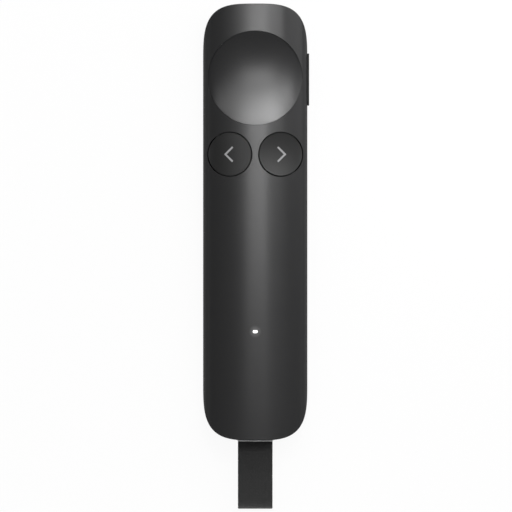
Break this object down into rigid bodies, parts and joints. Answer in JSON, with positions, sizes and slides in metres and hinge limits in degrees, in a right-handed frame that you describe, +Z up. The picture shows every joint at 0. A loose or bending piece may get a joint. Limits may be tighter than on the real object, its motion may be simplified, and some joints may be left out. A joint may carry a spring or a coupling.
{
  "type": "wireless presentation clicker",
  "caption": "Slim handheld presentation clicker with a dished pointer key, back and next keys, a side key and a USB receiver stowed in its end on a webbing pull tab.",
  "frame": {"origin": "on the flat underside, below the middle of the body", "axes": "+Z up through the keys, +Y along the body towards the pointer key end, +X towards the side key"},
  "size_m": [0.0305, 0.1451, 0.013],
  "materials": {
    "shell": "fine matte grain, satin sheen",
    "key_dish": "fine matte grain, satin sheen",
    "key_small": "matte",
    "key_side": "matte",
    "mark": "matte, moulded in",
    "window": "diffusing light guide",
    "lamp": "moulded",
    "webbing": "tight woven webbing",
    "collar": "satin",
    "receiver_shell": "matte",
    "inner_plastic": "matte",
    "stem": "moulded",
    "chip": "moulded epoxy",
    "board": "solder mask",
    "steel": "plain steel",
    "tin": "tin plated",
    "gold": "gold plated",
    "ceramic": "sintered",
    "cell": "laminated foil",
    "foam": "closed-cell foam",
    "wire": "insulation",
    "socket": "moulded nylon",
    "tungsten": "sintered tungsten",
    "rubber": "moulded rubber"
  },
  "bodies": {
    "case": {"top_case": "shell", "bottom_case": "shell", "pointer_switch": "chip", "back_switch": "chip", "next_switch": "chip", "side_switch": "chip", "light_pipe": "window", "status_led": "lamp", "main_board": "board", "board_screws": "steel", "case_screws": "steel", "radio_chip": "chip", "radio_shield": "tin", "radio_crystal": "tin", "motion_sensor": "chip", "antenna": "gold", "board_passives": "ceramic", "charge_chip": "chip", "charge_port_shell": "steel", "charge_port_tongue": "chip", "charge_port_contacts": "gold", "battery_cell": "cell", "battery_foam": "foam", "battery_leads": "wire", "battery_plug": "socket", "battery_socket": "socket", "haptic_can": "steel", "haptic_cradle": "rubber", "haptic_leads": "wire", "dock_sleeve": "inner_plastic", "dock_springs": "steel"},
    "pointer": {"pointer_key": "key_dish", "pointer_stem": "stem"},
    "back": {"back_key": "key_small", "back_chevron": "mark", "back_stem": "stem"},
    "next": {"next_key": "key_small", "next_chevron": "mark", "next_stem": "stem"},
    "side": {"side_key": "key_side", "side_key_clip": "inner_plastic", "side_stem": "stem"},
    "receiver": {"receiver_housing": "receiver_shell", "receiver_plug_shell": "tin", "receiver_tongue": "socket", "receiver_board": "board", "receiver_contacts": "gold", "receiver_chip": "chip", "tab_collar": "collar", "tab_wedge": "inner_plastic", "pull_tab": "webbing"},
    "spinner": {"haptic_shaft": "steel", "haptic_weight": "tungsten"}
  },
  "joints": [
    {"name": "pointer_press", "type": "slide", "parent": "case", "child": "pointer", "axis": [0, 0, -1], "range_m": [0, 0.00035], "stiffness_N_per_m": 1000, "springref_m": -0.0006},
    {"name": "back_press", "type": "slide", "parent": "case", "child": "back", "axis": [0, 0, -1], "range_m": [0, 0.00035], "stiffness_N_per_m": 1000, "springref_m": -0.0006},
    {"name": "next_press", "type": "slide", "parent": "case", "child": "next", "axis": [0, 0, -1], "range_m": [0, 0.00035], "stiffness_N_per_m": 1000, "springref_m": -0.0006},
    {"name": "side_press", "type": "slide", "parent": "case", "child": "side", "axis": [-1, 0, 0], "range_m": [0, 0.0003], "stiffness_N_per_m": 1000, "springref_m": -0.0006},
    {"name": "receiver_pull", "type": "slide", "parent": "case", "child": "receiver", "axis": [0, -1, 0], "range_m": [0, 0.03]},
    {"name": "haptic_spin", "type": "hinge", "parent": "case", "child": "spinner", "pos_m": [0, 0.0577, 0.0055], "axis": [1, 0, 0], "continuous": true}
  ]
}
